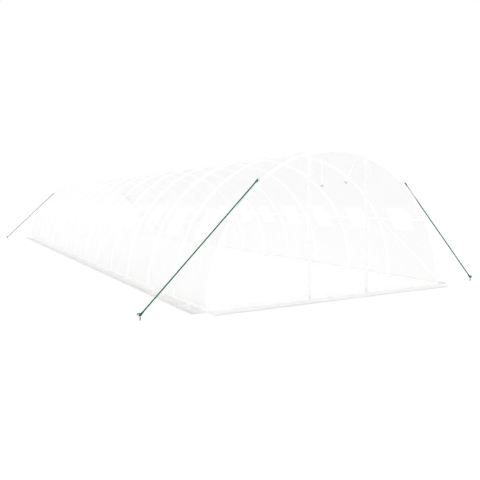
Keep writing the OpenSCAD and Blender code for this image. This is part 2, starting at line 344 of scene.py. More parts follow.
def woven_material(name, colour, gap_shade, pitch, roughness, alpha=1.0):
    """Woven yarn: crossed rows of rounded threads, with painted shade darkening the gaps between them."""
    material, tree = new_material(name)
    place = add(tree, "ShaderNodeTexCoord")
    threads = add(
        tree,
        "ShaderNodeTexBrick",
        {
            "offset": 0.5,
            "Color1": linear(colour),
            "Color2": linear(colour),
            # The darker gap colour is painted shade between the threads
            "Mortar": linear(gap_shade),
            "Scale": 1.0,
            "Mortar Size": pitch * 0.12,
            "Mortar Smooth": 0.8,
            "Brick Width": pitch * 2,
            "Row Height": pitch,
        },
        {"Vector": place.outputs["UV"]},
    )
    bump = add(
        tree,
        "ShaderNodeBump",
        {"Strength": 0.5, "Distance": 0.0004, "invert": True},
        {"Height": threads.outputs["Fac"]},
    )
    surface(
        tree,
        {"IOR": 1.5, "Roughness": roughness, "Alpha": alpha, "Sheen Weight": 0.15},
        {"Base Color": threads.outputs["Color"], "Normal": bump.outputs["Normal"]},
    )
    return material


def moulded_material(name, colour, worn, roughness):
    """Moulded plastic: a flat colour with the fine spark-eroded grain of the mould."""
    material, tree = new_material(name)
    on_part = {"Vector": add(tree, "ShaderNodeTexCoord").outputs["Object"]}
    grain = add(tree, "ShaderNodeTexNoise", {"Scale": 1 / MOULD_GRAIN, "Detail": 2.0}, on_part)
    tint = add(
        tree,
        "ShaderNodeMix",
        {"data_type": "RGBA", MIX_A: linear(colour), MIX_B: linear(worn)},
        {"Factor": grain.outputs["Fac"]},
    )
    bump = add(
        tree, "ShaderNodeBump", {"Strength": 0.2, "Distance": 0.0002}, {"Height": grain.outputs["Fac"]}
    )
    surface(
        tree,
        {"IOR": 1.53, "Roughness": roughness},
        {"Base Color": tint.outputs[MIX_RESULT], "Normal": bump.outputs["Normal"]},
    )
    return material


def rope_material(name, colour, bleached):
    """Twisted plastic fibre: matt and hair-fine, a little paler where the sun has bleached it."""
    material, tree = new_material(name)
    on_part = {"Vector": add(tree, "ShaderNodeTexCoord").outputs["Object"]}
    fibre = add(tree, "ShaderNodeTexNoise", {"Scale": 1 / FIBRE, "Detail": 2.0}, on_part)
    patch = add(tree, "ShaderNodeTexNoise", {"Scale": 1 / BLEACHED_PATCH}, on_part)
    share = add(
        tree,
        "ShaderNodeMath",
        {"operation": "MULTIPLY"},
        {0: fibre.outputs["Fac"], 1: patch.outputs["Fac"]},
    )
    tint = add(
        tree,
        "ShaderNodeMix",
        {"data_type": "RGBA", MIX_A: linear(colour), MIX_B: linear(bleached)},
        {"Factor": share.outputs[0]},
    )
    bump = add(
        tree, "ShaderNodeBump", {"Strength": 0.4, "Distance": 0.0004}, {"Height": fibre.outputs["Fac"]}
    )
    surface(
        tree,
        {"IOR": 1.49, "Roughness": 0.8, "Specular IOR Level": 0.15},
        {"Base Color": tint.outputs[MIX_RESULT], "Normal": bump.outputs["Normal"]},
    )
    return material


FILM = film_material("laminated_polythene_film", "#F9F9F9", "#FEFEFE", 0.20)
# The cover carries a painted light line over each hoop
COVER = film_material("laminated_polythene_cover", "#F0EFEF", "#F6F5F5", 0.43, hoop_light=True)
DOUBLED = film_material(
    "doubled_polythene_strip", "#F6F6F6", "#FBFBFB", 0.45, DOUBLED_SCRIM, mark_depth=0.02
)
TAPE = film_material("welded_window_tape", "#FCFCFC", "#FEFEFE", 0.06, DOUBLED_SCRIM)
FOOT_WELD = film_material(
    "doubled_polythene_foot", "#FEFEFE", "#FFFFFF", 0.97, DOUBLED_SCRIM, mark_depth=0.02
)
# The skirts' cloudy mottling and darker free edges are painted shade of their creases and lifted edges
END_SKIRT = film_material(
    "laminated_polythene_skirt", "#F8F6F4", "#FAF9F8", 0.92, mark_size=0.12, mark_depth=0.12, edge_shade=0.05
)
# The side skirts are a darker, more mottled copy of the end skirts' film: painted shade of their deeper
# creases
SIDE_SKIRT = film_material(
    "shade_painted_polythene_skirt", "#F5F4F3", "#F8F7F6", 0.92, mark_size=0.15, mark_depth=0.20, edge_shade=0.10
)
MESH = woven_material("knitted_insect_mesh", "#FFFFFF", "#FDFDFD", MESH_YARN, 0.75, alpha=0.40)
TUBE = coated_material("powder_coated_steel_tube", "#FDFDFD", "#FAFAFA", 0.38)
FITTING = coated_material("powder_coated_steel_fitting", "#FCFCFC", "#F8F8F8", 0.42)
ZINC = zinc_material("zinc_plated_steel", "#D3D6D8", "#A2A6A9")
ZIP_TAPE = woven_material("woven_polyester_zip_tape", "#FAFAFA", "#ECEEEE", ZIP_YARN, 0.7)
ZIP_TEETH = moulded_material("moulded_acetal_zip_teeth", "#FBFBFB", "#F4F5F5", 0.35)
THREAD = rope_material("spun_polyester_thread", "#A6ABAD", "#C2C6C8")
BOLT = coated_material("powder_coated_bolt", "#F6F6F6", "#EBECEC", 0.45)
WEBBING = woven_material("woven_polypropylene_webbing", "#FAFAF9", "#EBEBEB", WEBBING_YARN, 0.6)
NYLON = moulded_material("moulded_grey_nylon", "#A0A2A4", "#B0B2B4", 0.45)
ROPE = rope_material("twisted_green_polypropylene", "#05583F", "#1C8A66")
PEG_STEEL = zinc_material("weathered_steel_rod", "#7C8082", "#54585A")
THIN_SHEETS = (FILM, COVER, DOUBLED, TAPE, FOOT_WELD, MESH)


# Making pieces


def finish_piece(name, bm, material, replaces=(), smooth=True):
    """Turns a bmesh into a piece of the tunnel that rides on its frame. Thin film and mesh let nearly
    all daylight through, so they cast no shade and give no bounced light."""
    mesh = bpy.data.meshes.new(name)
    bm.to_mesh(mesh)
    bm.free()
    mesh.polygons.foreach_set("use_smooth", [smooth] * len(mesh.polygons))
    mesh.materials.append(material)
    piece = bpy.data.objects.new(name, mesh)
    piece.visible_shadow = material not in THIN_SHEETS
    piece.visible_diffuse = material not in THIN_SHEETS
    bpy.context.scene.collection.objects.link(piece)
    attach(piece, "root")
    if replaces:
        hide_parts(*replaces)
    return piece


def spaced(stops, counts):
    """Lines that divide each stretch between two stops into equal steps, the stops included."""
    lines = [stops[0]]
    for low, high, count in zip(stops, stops[1:], counts):
        lines += [low + (high - low) * (i + 1) / count for i in range(count)]
    return lines


def lay_weave(bm, flat):
    """Gives each corner of a sheet's faces its place on the flat cut."""
    weave = bm.loops.layers.uv.new("flat")
    for face in bm.faces:
        for loop in face.loops:
            loop[weave].uv = flat(loop.vert)


def sheet_grid(columns, rows, place, flat, leave_out=None):
    """A sheet with a cross line at each column and row: place gives a crossing's point, and flat its
    place on the flat cut for the weave. leave_out says which cells are cut away, from their middles."""
    bm = bmesh.new()
    across, up = len(columns) - 1, len(rows) - 1
    bmesh.ops.create_grid(bm, x_segments=across, y_segments=up, size=0.5)
    crossing = {
        v: (columns[round((v.co.x + 0.5) * across)], rows[round((v.co.y + 0.5) * up)]) for v in bm.verts
    }
    lay_weave(bm, lambda v: flat(*crossing[v]))
    cut = []
    if leave_out:
        for face in bm.faces:
            corners = [crossing[v] for v in face.verts]
            if leave_out(sum(c for c, r in corners) / 4, sum(r for c, r in corners) / 4):
                cut.append(face)
    for v in bm.verts:
        v.co = place(*crossing[v])
    bmesh.ops.delete(bm, geom=cut, context="FACES")
    return bm


def copies(template, places):
    """Copies of a template in one bmesh, each point moved by the copy's own place function."""
    mesh = bpy.data.meshes.new("template")
    template.to_mesh(mesh)
    template.free()
    bm = bmesh.new()
    for place in places:
        before = len(bm.verts)
        bm.from_mesh(mesh)
        bm.verts.ensure_lookup_table()
        for v in bm.verts[before:]:
            v.co = place(v.co)
    bpy.data.meshes.remove(mesh)
    return bm


def join(bm, part):
    """Adds another bmesh to one, and lets it go."""
    mesh = bpy.data.meshes.new("template")
    part.to_mesh(mesh)
    part.free()
    bm.from_mesh(mesh)
    bpy.data.meshes.remove(mesh)


def block(bm, size, at=(0, 0, 0)):
    """Adds a box of a size with its middle at a point."""
    made = bmesh.ops.create_cube(bm, size=1.0)["verts"]
    bmesh.ops.scale(bm, verts=made, vec=size)
    bmesh.ops.translate(bm, verts=made, vec=at)


def fade_in(distance, over):
    """Rises evenly from 0 at an edge to 1 at a distance from it."""
    return min(max(distance, 0) / over, 1)


def ripple(a, b, seed):
    """Smooth random value from -1 to 1 over a flat place."""
    return noise.noise(Vector((a, b, seed)))


def outwards(bm, towards):
    """Turns a sheet's faces to the side that towards points to from each face's middle."""
    bm.normal_update()
    turned = [f for f in bm.faces if f.normal.dot(towards(f.calc_center_median())) < 0]
    bmesh.ops.reverse_faces(bm, faces=turned)


def from_axis(point):
    """Direction straight out from the tunnel's long axis."""
    return Vector((point.x, 0, point.z - FRAME_Z))


def from_middle(point):
    """Direction out through the nearer end of the tunnel."""
    return Vector((0, point.y, 0))


def thicken(bm, thickness):
    """Gives a sheet its thickness, with all faces outwards."""
    bmesh.ops.solidify(bm, geom=bm.faces[:], thickness=thickness)
    bmesh.ops.recalc_face_normals(bm, faces=bm.faces)


def round_edges(bm, edges, radius):
    """Rounds edges over."""
    bmesh.ops.bevel(bm, geom=edges, offset=radius, segments=2, profile=0.5, affect="EDGES", material=-1)


# The arched cover


def cover_lift(y, angle):
    """How far the cover's film stands off its even arch: drawn in between hoops and purlins, with
    soft folds that gather towards the ground."""
    wall_sag, roof_sag = 0.008, 0.017
    fold_depth, drag_depth = 0.0035, 0.0030
    gather_height, foot_height = 0.35, 0.05
    side = min(angle, pi - angle)
    along = abs(sin(pi * (y + END_Y) / BAY)) if abs(y) < END_Y else 0.0
    if side < PURLIN:
        up = sin(pi * max(side, 0) / PURLIN)
        sag = wall_sag
    else:
        up = sin(pi * (side - PURLIN) / (pi / 2 - PURLIN))
        sag = roof_sag
    height = max(side, 0) * SHEET_R
    gathers = exp(-height / gather_height) * fade_in(height, foot_height)
    seed = 2.0 if angle < pi / 2 else 5.0
    folds = fold_depth * gathers * ripple(y * 5.5, height * 1.1, seed) * along
    drag = drag_depth * up * along * ripple(y * 1.7 + height * 1.3, y * 0.9 - height * 2.1, seed + 1)
    return folds + drag - sag * along * up


def on_cover(y, angle, lift=0.0):
    """Point on the cover's film, or lifted off it."""
    r = SHEET_R + cover_lift(y, angle) + lift
    return Vector((r * cos(angle), y, FRAME_Z + r * sin(angle)))


def in_window(y, angle):
    """Whether a place on the cover lies in one of its windows."""
    side = min(angle, pi - angle)
    beside = abs((y + END_Y) % BAY - BAY / 2)
    return abs(side - PURLIN) < WINDOW_HALF and beside < WINDOW_W / 2 and abs(y) < END_Y


def arched_cover():
    """The whole arched film as one sheet with its windows cut out."""
    edge = (BAY - WINDOW_W) / 2
    # Steps of the grid beside a window and over it
    beside, over = 7, 10
    stops = [-COVER_END]
    counts = [1]
    for y in HOOP_YS[:-1]:
        stops += [y, y + edge, y + BAY - edge]
        counts += [beside, over, beside]
    stops += [END_Y, COVER_END]
    counts += [1]
    low, high = PURLIN - WINDOW_HALF, PURLIN + WINDOW_HALF
    angles = spaced(
        [GROUND_ANGLE, low, high, pi / 2, pi - high, pi - low, pi - GROUND_ANGLE],
        [20, over, 45, 45, over, 20],
    )
    bm = sheet_grid(
        spaced(stops, counts), angles, on_cover, lambda y, angle: (y + END_Y, angle * SHEET_R), in_window
    )
    outwards(bm, from_axis)
    strips = ("wall", "window", "roof", "crown")
    nodes = [f"{side}_{strip}_film" for side in SIDES for strip in strips]
    piece = finish_piece("arched_cover", bm, COVER, nodes)


def window_places(angle):
    """Puts a flat place (along the tunnel, round the arch, lift) into each window on one side."""
    return [lambda p, y=y: on_cover(y + p.x, angle + p.y / SHEET_R, p.z) for y in BAY_YS]


def window_mesh(side, angle):
    """A slack panel of white mesh behind each window's tape."""
    lap, behind, slack_depth, steps = 0.006, 0.0012, 0.003, 12
    half_w, half_h = WINDOW_W / 2 + lap, WINDOW_H / 2 + lap
    columns = spaced([-half_w, half_w], [steps])
    rows = spaced([-half_h, half_h], [steps])

    def slack(u, v):
        bow = cos(pi * u / (2 * half_w)) * cos(pi * v / (2 * half_h))
        return Vector((u, v, -behind - slack_depth * bow))

    bm = copies(sheet_grid(columns, rows, slack, lambda u, v: (u, v)), window_places(angle))
    outwards(bm, from_axis)
    piece = finish_piece(f"{side}_window_mesh", bm, MESH, [f"{side}_window_meshes"])


def window_tape(side, angle):
    """The tape round each window: a flat frame welded onto the film."""
    lap, margin, lift = 0.004, 0.022, 0.0012
    bm = bmesh.new()
    bmesh.ops.create_grid(bm, x_segments=1, y_segments=1, size=0.5)
    bmesh.ops.scale(bm, verts=bm.verts, vec=(WINDOW_W + 2 * margin, WINDOW_H + 2 * margin, 1))
    bmesh.ops.inset_individual(bm, faces=bm.faces[:], thickness=margin + lap)
    middle = [f for f in bm.faces if f.calc_center_median().length < lap]
    bmesh.ops.delete(bm, geom=middle, context="FACES")
    bmesh.ops.subdivide_edges(bm, edges=bm.edges[:], cuts=9, use_grid_fill=True)
    lay_weave(bm, lambda v: v.co.xy)
    bmesh.ops.translate(bm, verts=bm.verts, vec=(0, 0, lift))
    bm = copies(bm, window_places(angle))
    outwards(bm, from_axis)
    return finish_piece(f"{side}_window_tapes", bm, TAPE)


# The ends


def at_end(back, point):
    """Puts a point of the front end where it is on that end: the back is the front turned about."""
    return Vector((-point.x, -point.y, point.z)) if back else point


def arch_height(x):
    """Height of the end film's arched edge above the ground."""
    return FRAME_Z + sqrt(max(ARCH_R**2 - x * x, 0))


def end_bulge(x, z, seed):
    """How far the end film stands forward of its flat place: a slack belly and slanting folds that
    fade out at the arch, the ground and the zips."""
    belly_depth, slant_depth, fine_depth = 0.006, 0.004, 0.0016
    zip_hold, arch_hold, foot_hold, belly_reach = 0.12, 0.15, 0.06, 0.5
    to_zip = abs(abs(x) - DOOR_W / 2) - ZIP_W / 2
    to_arch = ARCH_R - hypot(x, z - FRAME_Z)
    free = fade_in(to_zip, zip_hold) * fade_in(to_arch, arch_hold) * fade_in(z, foot_hold)
    belly = belly_depth * fade_in(to_arch, belly_reach)
    slant = slant_depth * ripple(x * 2.3 + z * 1.1, z * 0.8 - x * 0.5, seed)
    fine = fine_depth * ripple(x * 8.0, z * 1.6, seed + 3)
    return free * max(belly + slant + fine, 0.0)


def on_end(back, x, z, lift=0.0):
    """Point on the film of an end wall, or lifted off it."""
    bulge = end_bulge(x, z, END_SEEDS[back])
    return at_end(back, Vector((x, -END_SHEET_Y - bulge - lift, z)))


def on_door(back, x, z, lift=0.0):
    """Point on a door's slack film with its long upright folds, or lifted off it."""
    fold_depth, zip_hold, top_hold, foot_hold = 0.009, 0.08, 0.10, 0.05
    seed = DOOR_SEEDS[back]
    free = fade_in(DOOR_W / 2 - abs(x), zip_hold) * fade_in(DOOR_H - z, top_hold) * fade_in(z, foot_hold)
    folds = 0.5 + 0.5 * ripple(x * 4.2, z * 0.45, seed) + 0.18 * ripple(x * 11.0, z * 1.3, seed + 1)
    return at_end(back, Vector((x, -END_SHEET_Y - fold_depth * max(free * folds, 0) - lift, z)))


def end_wall(end, back, trims):
    """The end film beside and over the door, as one sheet."""

    def beside(x, t):
        return on_end(back, x, SKIRT_T + t * (arch_height(x) - SKIRT_T))

    def over(x, t):
        return on_end(back, x, DOOR_H + t * (arch_height(x) - DOOR_H))

    def flat_cut(x, t):
        return (x, t * arch_height(x))

    edge = sqrt(ARCH_R**2 - (FRAME_Z - SKIRT_T) ** 2)
    # The columns crowd together where the arch stands steep
    outer = [edge * sin(radians(a)) for a in (90, 89, 87.5, 85.5, 83, 80, 77, 74, 71)]
    near_zip, foot_share = 0.62, 0.06
    inner = spaced([outer[-1], near_zip, DOOR_W / 2], [30, 4])
    columns = outer[:-1] + inner
    rows = spaced([0, foot_share, 1], [3, 44])
    bm = sheet_grid(columns, rows, beside, flat_cut)
    other = sheet_grid([-x for x in columns], rows, beside, flat_cut)
    top = sheet_grid(spaced([-DOOR_W / 2, DOOR_W / 2], [28]), spaced([0, 1], [6]), over, flat_cut)
    join(bm, other)
    join(bm, top)
    outwards(bm, from_middle)
    piece = finish_piece(
        f"{end}_end_film", bm, FILM, [f"{end}_side_films", f"{end}_door_top_film"]
    )


def door_film(end, back):
    """The door's own panel: a slack sheet between its zips."""
    half = DOOR_W / 2 - FIT
    bm = sheet_grid(
        spaced([-half, half], [48]),
        spaced([SKIRT_T, DOOR_H - FIT], [64]),
        lambda x, z: on_door(back, x, z),
        lambda x, z: (x, z),
    )
    outwards(bm, from_middle)
    piece = finish_piece(f"{end}_door_film", bm, FILM, [f"{end}_door_panel"])


def end_hem(end, back):
    """The doubled hem where the arched cover folds over onto the end film: a white band along the
    arch."""
    band, step_width = 0.045, 0.015
    # Its section: the place along the tunnel and the distance from the tunnel's axis
    profile = [
        (-END_Y + 0.012, SHEET_R + 0.0012),
        (-END_Y - 0.004, SHEET_R + 0.0018),
        (-COVER_END - 0.0006, SHEET_R + 0.0018),
        (-COVER_END - 0.0018, SHEET_R + 0.0002),
        (-COVER_END - 0.0014, SHEET_R - 0.008),
        (-COVER_END - 0.0012, SHEET_R - band / 2),
        (-COVER_END - 0.0008, SHEET_R - band),
    ]

    def place(angle, step):
        y, r = profile[step]
        x, z = r * cos(angle), FRAME_Z + r * sin(angle)
        return at_end(back, Vector((x, y - end_bulge(x, z, END_SEEDS[back]), z)))

    angles = spaced([GROUND_ANGLE, pi - GROUND_ANGLE], [160])
    steps = range(len(profile))
    bm = sheet_grid(angles, steps, place, lambda angle, step: (angle * SHEET_R, step * step_width))
    outwards(bm, lambda p: from_axis(p) + 3 * from_middle(p))
    return finish_piece(f"{end}_end_hem", bm, DOUBLED)


def foot_hem(end, back):
    """The doubled strip along the foot of an end and its door, which shows as a white line."""
    low, high = SKIRT_T, SKIRT_T + FOOT_STRIP
    edge = sqrt(ARCH_R**2 - (high - FRAME_Z) ** 2)
    zip_side = (DOOR_W + ZIP_W) / 2
    door_half = (DOOR_W - ZIP_W) / 2
    bm = bmesh.new()
    for start, stop, count, on_film in (
        (-edge, -zip_side, 40, on_end),
        (-door_half, door_half, 48, on_door),
        (zip_side, edge, 40, on_end),
    ):
        part = sheet_grid(
            spaced([start, stop], [count]),
            spaced([low, high], [4]),
            lambda x, z, on_film=on_film: on_film(back, x, z, FOOT_STRIP_LIFT),
            lambda x, z: (x, z),
        )
        join(bm, part)
    outwards(bm, from_middle)
    return finish_piece(f"{end}_foot_hem", bm, FOOT_WELD)


def zip_facings(end, back):
    """The doubled strips on both sides of each zip, which show as a white band."""
    lift, lap, reach = 0.0012, 0.004, 0.016
    bm = bmesh.new()
    for side in (-1, 1):
        for way, on_film in ((1, on_end), (-1, on_door)):
            near = side * (DOOR_W / 2 + way * (ZIP_W / 2 - lap))
            far = side * (DOOR_W / 2 + way * (ZIP_W / 2 + reach))
            part = sheet_grid(
                spaced([near, far], [3]),
                spaced([SKIRT_T, DOOR_H - FIT], [64]),
                lambda x, z, on_film=on_film: on_film(back, x, z, lift),
                lambda x, z: (x, z),
            )
            join(bm, part)
    outwards(bm, from_middle)
    return finish_piece(f"{end}_zip_facings", bm, DOUBLED)


def side_foot_hem(side):
    """The doubled strip along the foot of a long side."""
    turn = FOOT_STRIP / SHEET_R
    low = GROUND_ANGLE if side == "right" else pi - GROUND_ANGLE - turn
    bm = sheet_grid(
        spaced([-COVER_END, COVER_END], [24 * BAYS]),
        spaced([low, low + turn], [4]),
        lambda y, angle: on_cover(y, angle, FOOT_STRIP_LIFT),
        lambda y, angle: (y, angle * SHEET_R),
    )
    outwards(bm, from_axis)
    return finish_piece(f"{side}_foot_hem", bm, FOOT_WELD)


def zip_tapes(end, back):
    """The woven tapes of a door's two zips, a half on each side of the chain."""
    gap, thickness = 0.0011, 0.0012
    tape = bmesh.new()
    for side in (-1, 1):
        for half in (-1, 1):
            x = side * DOOR_W / 2 + half * (ZIP_W / 4 + gap)
            at = (x, -COVER_END - thickness, (DOOR_H + SKIRT_T) / 2)
            block(tape, (ZIP_W / 2 - 2 * gap, thickness, DOOR_H - SKIRT_T), at)
    lay_weave(tape, lambda v: v.co.xz)
    for v in tape.verts:
        v.co = at_end(back, v.co)
    finish_piece(f"{end}_zip_tapes", tape, ZIP_TAPE, [f"{end}_door_zips"], smooth=False)


def up_the_zip(back, x, forward, margin, low, pitch, lean=0.0):
    """Places at even steps up a zip, set off to its two sides by turns."""
    places = []
    for i in range(int((DOOR_H - SKIRT_T - margin) / pitch)):
        aside = lean if i % 2 else -lean
        at = Vector((x + aside, -COVER_END - forward, SKIRT_T + low + i * pitch))
        places.append(lambda p, at=at: at_end(back, p + at))
    return places


def zip_teeth(end, back):
    """The chains of teeth, 7 mm apart, coarser than a real chain so that they show."""
    tooth = bmesh.new()
    block(tooth, (0.0052, 0.0026, 0.0040))
    places = []
    for side in (-1, 1):
        x = side * DOOR_W / 2
        places += up_the_zip(back, x, forward=0.0024, margin=0.03, low=0.012, pitch=0.007, lean=0.0011)
    finish_piece(f"{end}_zip_teeth", copies(tooth, places), ZIP_TEETH, smooth=False)


def zip_stitches(end, back):
    """Stitches along the tapes' outer edges, 8 mm apart, coarser than real ones so that they show."""
    inset = 0.0025
    stitch = bmesh.new()
    block(stitch, (0.0013, 0.0009, 0.0056))
    places = []
    for side in (-1, 1):
        for edge in (-1, 1):
            x = side * DOOR_W / 2 + edge * (ZIP_W / 2 - inset)
            places += up_the_zip(back, x, forward=0.0020, margin=0.01, low=0.008, pitch=0.008)
    finish_piece(f"{end}_zip_stitches", copies(stitch, places), THREAD, smooth=False)


def zip_sliders(end, back):
    """A slider near the foot of each zip: its body, its bridge and its hanging pull."""
    edge_radius = 0.0009
    slider = bmesh.new()
    for side in (-1, 1):
        for size, forward, height in (
            ((0.016, 0.006, 0.026), 0.0045, 0.075),
            ((0.006, 0.005, 0.010), 0.0085, 0.079),
            ((0.010, 0.0022, 0.046), 0.0095, 0.056),
        ):
            block(slider, size, (side * DOOR_W / 2, -COVER_END - forward, height))
    round_edges(slider, slider.edges[:], edge_radius)
    for v in slider.verts:
        v.co = at_end(back, v.co)
    finish_piece(f"{end}_zip_sliders", slider, ZIP_TEETH)


def strap_frame(back, leaning):
    """Places a strap's own points (across, forward, down from its top) on the end film."""
    lean = STRAP_LEAN if leaning else 0.0
    x = STRAP_SPACING / 2 if leaning else -STRAP_SPACING / 2

    def place(p):
        across = p.x * cos(lean) - p.z * sin(lean)
        down = p.z * cos(lean) + p.x * sin(lean)
        return at_end(back, Vector((x + across, -COVER_END - p.y, STRAP_TOP - down)))

    return place


def tie_straps():
    """Webbing straps that tie up the rolled door, sewn on at the top and hanging loose."""
    sewn, lift, sway_width, hang_forward = 0.035, 0.0012, 0.010, 0.006
    bm = bmesh.new()
    rows = spaced([0, sewn, STRAP_LENGTH], [4, 26])
    columns = spaced([-STRAP_W / 2, STRAP_W / 2], [4])
    for back, leaning in STRAPS:
        place = strap_frame(back, leaning)
        start = 1 if leaning else 0

        def hang(across, down, place=place, start=start):
            slack = max(down - sewn, 0)
            sway = sway_width * sin(slack * 7.5 + start) * fade_in(slack, 0.1)
            twist = 0.16 * across * fade_in(slack, 0.2)
            forward = lift + hang_forward * fade_in(slack, 0.25) + abs(sway) * 0.4 + twist
            return place(Vector((across + sway * 0.5, forward, down)))

        join(bm, sheet_grid(columns, rows, hang, lambda across, down: (across, down)))
    outwards(bm, from_middle)
    thicken(bm, WEBBING_T)
    finish_piece("tie_straps", bm, WEBBING, ["door_straps"])


def strap_buckles():
    """Ladder-lock buckles at the straps' ends: a frame with two slots, its edges rounded."""
    thickness, forward, edge_radius, sharp_angle = 0.005, 0.009, 0.0009, 0.5
    xs = [-0.020, -0.0172, 0.0172, 0.020]
    zs = [-0.003, -0.0002, 0.0072, 0.0098, 0.0176, 0.0205]
    across, up = len(xs) - 1, len(zs) - 1
    buckle = bmesh.new()
    bmesh.ops.create_grid(buckle, x_segments=across, y_segments=up, size=0.5)
    for v in buckle.verts:
        v.co = Vector((xs[round((v.co.x + 0.5) * across)], 0, zs[round((v.co.y + 0.5) * up)]))
    slots = []
    for face in buckle.faces:
        middle = face.calc_center_median()
        in_row = zs[1] < middle.z < zs[2] or zs[3] < middle.z < zs[4]
        if in_row and abs(middle.x) < xs[2]:
            slots.append(face)
    bmesh.ops.delete(buckle, geom=slots, context="FACES")
    thicken(buckle, thickness)
    rim = [e for e in buckle.edges if len(e.link_faces) == 2 and e.calc_face_angle(0) > sharp_angle]
    round_edges(buckle, rim, edge_radius)
    places = []
    for back, leaning in STRAPS:
        seat = strap_frame(back, leaning)
        places.append(lambda p, seat=seat: seat(Vector((p.x, p.y + forward, p.z + STRAP_LENGTH))))
    finish_piece("buckles", copies(buckle, places), NYLON, ["strap_buckles"])


# The skirts


def skirt_rise(along, out, seed, crumple):
    """Height of the laid film above the ground: it comes down from the wall's foot, then lies in low
    swells and creases that grow towards its free edge."""
    clear, turn_height, turn_reach = 0.0016, 0.004, 0.012
    swell_height, crease_height, fine_height = 0.012, 0.008, 0.003
    swell = 0.5 + 0.5 * ripple(along * 1.9, out * 2.0, seed)
    crease = abs(ripple(along * 6.0 + out * 5.0, out * 7.0, seed + 1))
    fine = abs(ripple(along * 17.0, out * 9.0, seed + 2))
    lumps = swell_height * swell**2 + crease_height * crease + fine_height * fine
    return clear + turn_height * exp(-out / turn_reach) + fade_in(out, SKIRT_W) * crumple * lumps


def skirt(name, along_half, start, place_out, seed, material, crumple):
    """One skirt flap: it turns out from the wall's foot and lies on the ground, its wavy free edge
    folded back as a hem."""
    hem, fold, fold_width, turn_out, step = 0.020, 0.0016, 0.002, 0.02, 0.028
    long_wave, short_wave = 0.010, 0.012

    def place(along, out):
        back = max(out - SKIRT_W, 0)
        at = min(out, SKIRT_W) - back
        wave = long_wave * ripple(along * 0.9, 0.0, seed + 4)
        wave += short_wave * ripple(along * 3.7, 0.0, seed + 5)
        edge = wave * at / SKIRT_W
        lift = fold * fade_in(back, fold_width)
        return place_out(along, start + at - edge, skirt_rise(along, at, seed, crumple) + lift)

    count = max(int(2 * along_half / step), 40)
    columns = spaced([-along_half, along_half], [count])
    rows = spaced([0, turn_out, SKIRT_W, SKIRT_W + fold_width, SKIRT_W + hem], [3, 10, 1, 2])
    bm = sheet_grid(columns, rows, place, lambda along, out: (along, out))
    outwards(bm, lambda p: Vector((0, 0, 1)))
    piece = finish_piece(name + "_flap", bm, material, [name])


# The guy ropes


def tube_mesh(name, lines, radius, material, replaces=(), roundness=2):
    """Round cords or rods along lines of points, as one mesh piece. Each line comes with the share of
    the radius that is left at its far end."""
    curve = bpy.data.curves.new(name, "CURVE")
    curve.dimensions = "3D"
    curve.bevel_depth = radius
    curve.bevel_resolution = roundness
    curve.use_fill_caps = True
    for line, left in lines:
        spline = curve.splines.new("POLY")
        spline.points.add(len(line) - 1)
        for i, at in enumerate(line):
            spline.points[i].co = (*at, 1.0)
            spline.points[i].radius = 1 + (left - 1) * i / (len(line) - 1)
    holder = bpy.data.objects.new(name, curve)
    bpy.context.scene.collection.objects.link(holder)
    bpy.context.view_layer.update()
    mesh = bpy.data.meshes.new_from_object(holder.evaluated_get(bpy.context.evaluated_depsgraph_get()))
    bpy.data.objects.remove(holder)
    bpy.data.curves.remove(curve)
    bm = bmesh.new()
    bm.from_mesh(mesh)
    bpy.data.meshes.remove(mesh)
    bmesh.ops.recalc_face_normals(bm, faces=bm.faces)
    return finish_piece(name, bm, material, replaces)


def smooth_line(points, step):
    """Points at even steps along a smooth curve through the given points."""
    ends = [points[0] * 2 - points[1], *points, points[-1] * 2 - points[-2]]
    line = []
    for p0, p1, p2, p3 in zip(ends, ends[1:], ends[2:], ends[3:]):
        count = max(int((p2 - p1).length / step), 1)
        square = 2 * p0 - 5 * p1 + 4 * p2 - p3
        cube = 3 * p1 - p0 - 3 * p2 + p3
        for i in range(count):
            t = i / count
            line.append(0.5 * (2 * p1 + (p2 - p0) * t + square * t**2 + cube * t**3))
    line.append(points[-1])
    return line


def strands(line, reach, start, left=1.0):
    """Three strands twisted round a line at a reach from it, from a turn to start with."""
    lay = 8.5 * ROPE_R
    found = [[], [], []]
    run = 0.0
    side = Vector((0, 1, 0))
    for i, at in enumerate(line):
        ahead = line[min(i + 1, len(line) - 1)] - line[max(i - 1, 0)]
        ahead.normalize()
        side = side - ahead * side.dot(ahead)
        side.normalize()
        other = ahead.cross(side)
        if i:
            run += (at - line[i - 1]).length
        for k in range(3):
            turn = tau * (run / lay + k / 3 + start)
            found[k].append(at + reach * (cos(turn) * side + sin(turn) * other))
    return [(strand, left) for strand in found]


def at_corner(left, back, point):
    """Puts a point of the front right corner where it is on that corner."""
    return Vector((-point.x if left else point.x, -point.y if back else point.y, point.z))


def eye(splice, neck, middle, across, far, hold):
    """The loop of a spliced eye: from its splice past the neck, round the far side and back."""
    squeeze, slant = 0.75, 0.7
    return [
        splice,
        neck + across * squeeze * hold,
        middle + across * hold,
        middle + (across + far) * slant * hold,
        middle + far * hold,
        middle + (far - across) * slant * hold,
        middle - across * hold,
        neck - across * squeeze * hold,
        splice,
    ]


